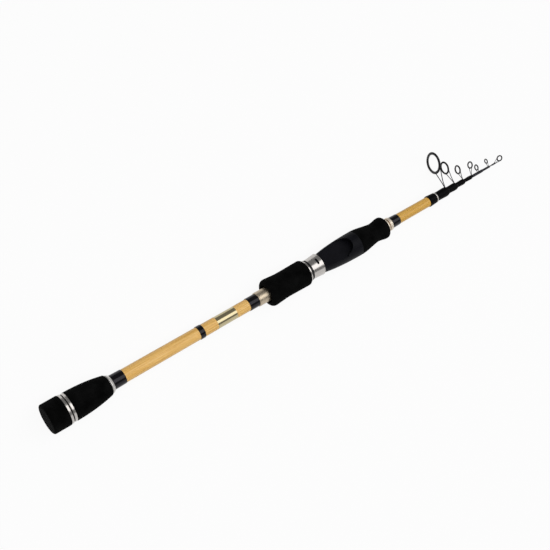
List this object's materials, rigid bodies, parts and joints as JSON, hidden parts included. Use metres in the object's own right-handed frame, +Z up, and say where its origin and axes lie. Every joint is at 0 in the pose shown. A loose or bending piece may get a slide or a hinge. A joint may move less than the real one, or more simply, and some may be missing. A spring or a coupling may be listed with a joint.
{
  "type": "telescopic fishing rod",
  "caption": "Telescopic fishing rod, shown collapsed: foam grips, a screw-down reel seat, a tapered gold butt blank and nested sections that carry wire line guides.",
  "frame": {"origin": "centre of the butt cap's end face, on the rod's axis", "axes": "+X along the rod from butt to tip, +Z up as the rod lies on its butt knob, its nut and its first guide; the reel seat's deck is turned 17 degrees from +Z towards +Y"},
  "size_m": [0.559, 0.0582, 0.0284],
  "materials": {
    "gold_blank": "gloss lacquer over wood-like streaks",
    "foam": "matt fine foam",
    "bright_metal": "polished",
    "lacquered_thread": "thread under gloss lacquer",
    "seat_plastic": "satin",
    "inner_plastic": "matt",
    "soft_rubber": "matt",
    "dark_blank": "gloss",
    "guide_wire": "dark gunmetal",
    "guide_ceramic": "polished"
  },
  "bodies": {
    "handle": {"butt_blank": "gold_blank", "cap_ferrule": "bright_metal", "rear_grip": "foam", "rear_check": "bright_metal", "rear_wrap": "lacquered_thread", "middle_wrap": "lacquered_thread", "seat_wrap": "lacquered_thread", "seat_sleeve": "bright_metal", "seat_arbor": "inner_plastic", "seat_body": "seat_plastic", "fore_grip": "foam", "fore_check": "bright_metal", "fore_wrap": "lacquered_thread", "mouth_wrap": "lacquered_thread"},
    "mouth_ring": {"mouth_ring": "bright_metal"},
    "butt_cap": {"cap_knob": "foam", "cap_ring": "bright_metal", "cap_washer": "soft_rubber", "cap_plug": "inner_plastic", "cap_pad": "soft_rubber"},
    "hood": {"hood_shell": "bright_metal", "hood_liner": "inner_plastic", "hood_washer": "inner_plastic"},
    "nut": {"nut_core": "inner_plastic", "nut_grip": "foam", "nut_trim": "bright_metal"},
    "section_2": {"section_2_tube": "dark_blank", "section_2_wrap": "lacquered_thread", "guide_1_frame": "guide_wire", "guide_1_ring": "guide_ceramic"},
    "section_3": {"section_3_tube": "dark_blank", "section_3_wrap": "lacquered_thread", "guide_2_frame": "guide_wire", "guide_2_ring": "guide_ceramic"},
    "section_4": {"section_4_tube": "dark_blank", "section_4_wrap": "lacquered_thread", "guide_3_frame": "guide_wire", "guide_3_ring": "guide_ceramic"},
    "section_5": {"section_5_tube": "dark_blank", "section_5_wrap": "lacquered_thread", "guide_4_frame": "guide_wire", "guide_4_ring": "guide_ceramic"},
    "slider_5": {"guide_5_tube": "guide_wire", "guide_5_frame": "guide_wire", "guide_5_ring": "guide_ceramic"},
    "slider_6": {"guide_6_tube": "guide_wire", "guide_6_frame": "guide_wire", "guide_6_ring": "guide_ceramic"},
    "tip": {"tip_blank": "dark_blank", "tip_top_tube": "guide_wire", "tip_top_frame": "guide_wire", "tip_top_ring": "guide_ceramic"}
  },
  "joints": [
    {"name": "cap_slide", "type": "slide", "parent": "handle", "child": "butt_cap", "axis": [-1, 0, 0], "range_m": [0, 0.04]},
    {"name": "hood_slide", "type": "slide", "parent": "handle", "child": "hood", "axis": [-1, 0, 0], "range_m": [0, 0.01801]},
    {"name": "nut_turn", "type": "hinge", "parent": "hood", "child": "nut", "pos_m": [0.26, 0, 0], "axis": [-1, 0, 0], "range_deg": [0, 3240]},
    {"name": "sections_turn", "type": "hinge", "parent": "handle", "child": "mouth_ring", "pos_m": [0.4588, 0, 0], "axis": [1, 0, 0], "continuous": true},
    {"name": "section_2_slide", "type": "slide", "parent": "mouth_ring", "child": "section_2", "axis": [1, 0, 0], "range_m": [0, 0.3619]},
    {"name": "section_3_slide", "type": "slide", "parent": "section_2", "child": "section_3", "axis": [1, 0, 0], "range_m": [0, 0.3811]},
    {"name": "section_4_slide", "type": "slide", "parent": "section_3", "child": "section_4", "axis": [1, 0, 0], "range_m": [0, 0.3944]},
    {"name": "section_5_slide", "type": "slide", "parent": "section_4", "child": "section_5", "axis": [1, 0, 0], "range_m": [0, 0.4065]},
    {"name": "tip_slide", "type": "slide", "parent": "section_5", "child": "tip", "axis": [1, 0, 0], "range_m": [0, 0.4183]},
    {"name": "slider_5_slide", "type": "slide", "parent": "section_5", "child": "slider_5", "axis": [1, 0, 0], "range_m": [0, 0.1381]},
    {"name": "slider_6_slide", "type": "slide", "parent": "section_5", "child": "slider_6", "axis": [1, 0, 0], "range_m": [0, 0.2761]}
  ],
  "couplings": [
    {"joint": "hood_slide", "follows": "nut_turn", "m_per_rad": 0.00031831},
    {"joint": "slider_5_slide", "follows": "tip_slide", "ratio": 0.33},
    {"joint": "slider_6_slide", "follows": "tip_slide", "ratio": 0.66}
  ]
}
